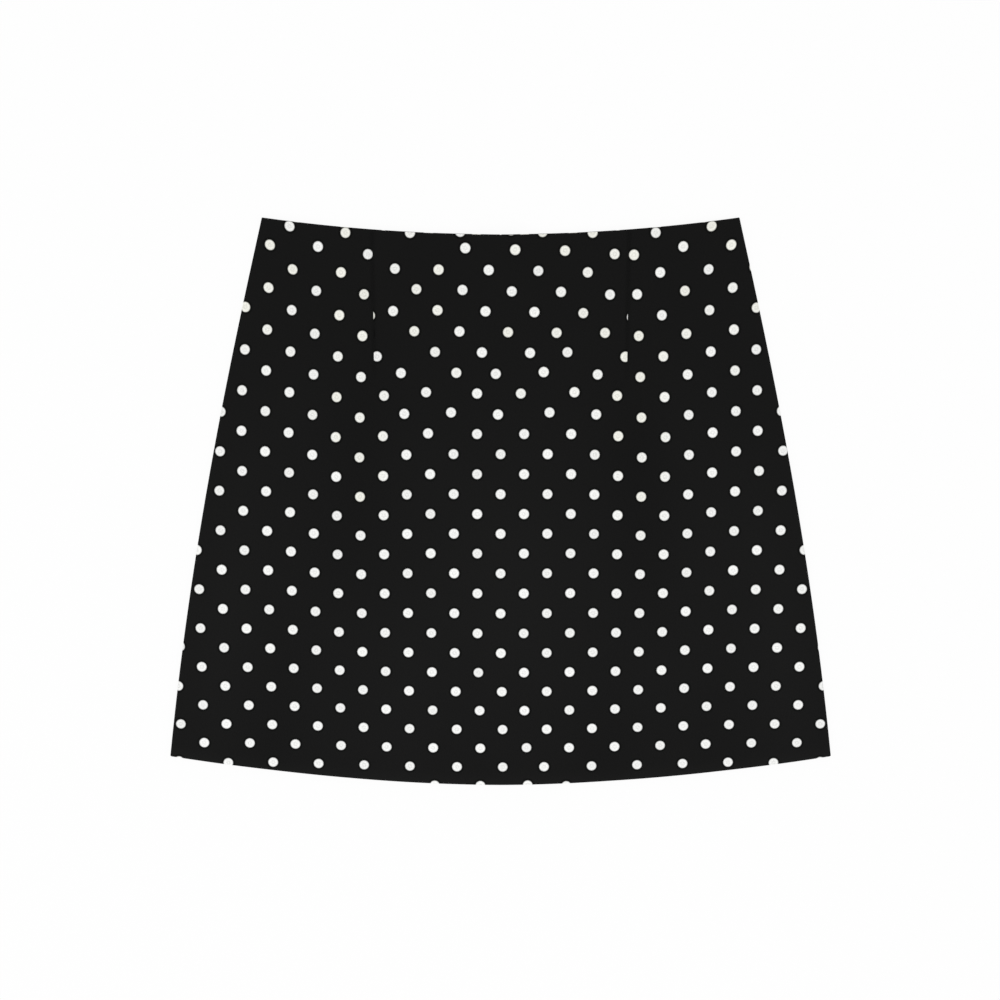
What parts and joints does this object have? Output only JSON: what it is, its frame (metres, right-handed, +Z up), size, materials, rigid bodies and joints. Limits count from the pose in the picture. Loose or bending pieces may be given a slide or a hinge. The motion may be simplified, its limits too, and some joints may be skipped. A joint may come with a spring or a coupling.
{
  "type": "a-line mini skirt",
  "caption": "A-line mini skirt in dotted woven cotton, laid flat, with two front darts and a concealed zip down the centre back.",
  "frame": {"origin": "on the surface that the skirt lies on, under the middle of its outline", "axes": "+Z up out of the front of the skirt, +Y towards the waist, +X towards the right of the picture, which is the wearer's left"},
  "size_m": [0.5264, 0.4494, 0.0082],
  "materials": {
    "front_cloth": "matt black plain-weave cotton with small off-white dots in staggered rows",
    "back_left_cloth": "matt black plain-weave cotton with small off-white dots in staggered rows",
    "back_right_cloth": "matt black plain-weave cotton with small off-white dots in staggered rows",
    "tape_left_weave": "black woven polyester tape with a nylon coil",
    "tape_right_weave": "black woven polyester tape with a nylon coil",
    "slider_enamel": "black enamel over die-cast zinc",
    "pull_enamel": "black enamel over die-cast zinc"
  },
  "bodies": {
    "skirt": {"front": "front_cloth", "back_left": "back_left_cloth", "back_right": "back_right_cloth", "zip_tape_left": "tape_left_weave", "zip_tape_right": "tape_right_weave", "zip_slider": "slider_enamel"},
    "zip_pull": {"zip_pull": "pull_enamel"}
  },
  "joints": [
    {"name": "pull_hinge", "type": "hinge", "parent": "skirt", "child": "zip_pull", "pos_m": [0, 0.20425, 0.0014], "axis": [1, 0, 0], "range_deg": [0, 175.2]}
  ]
}
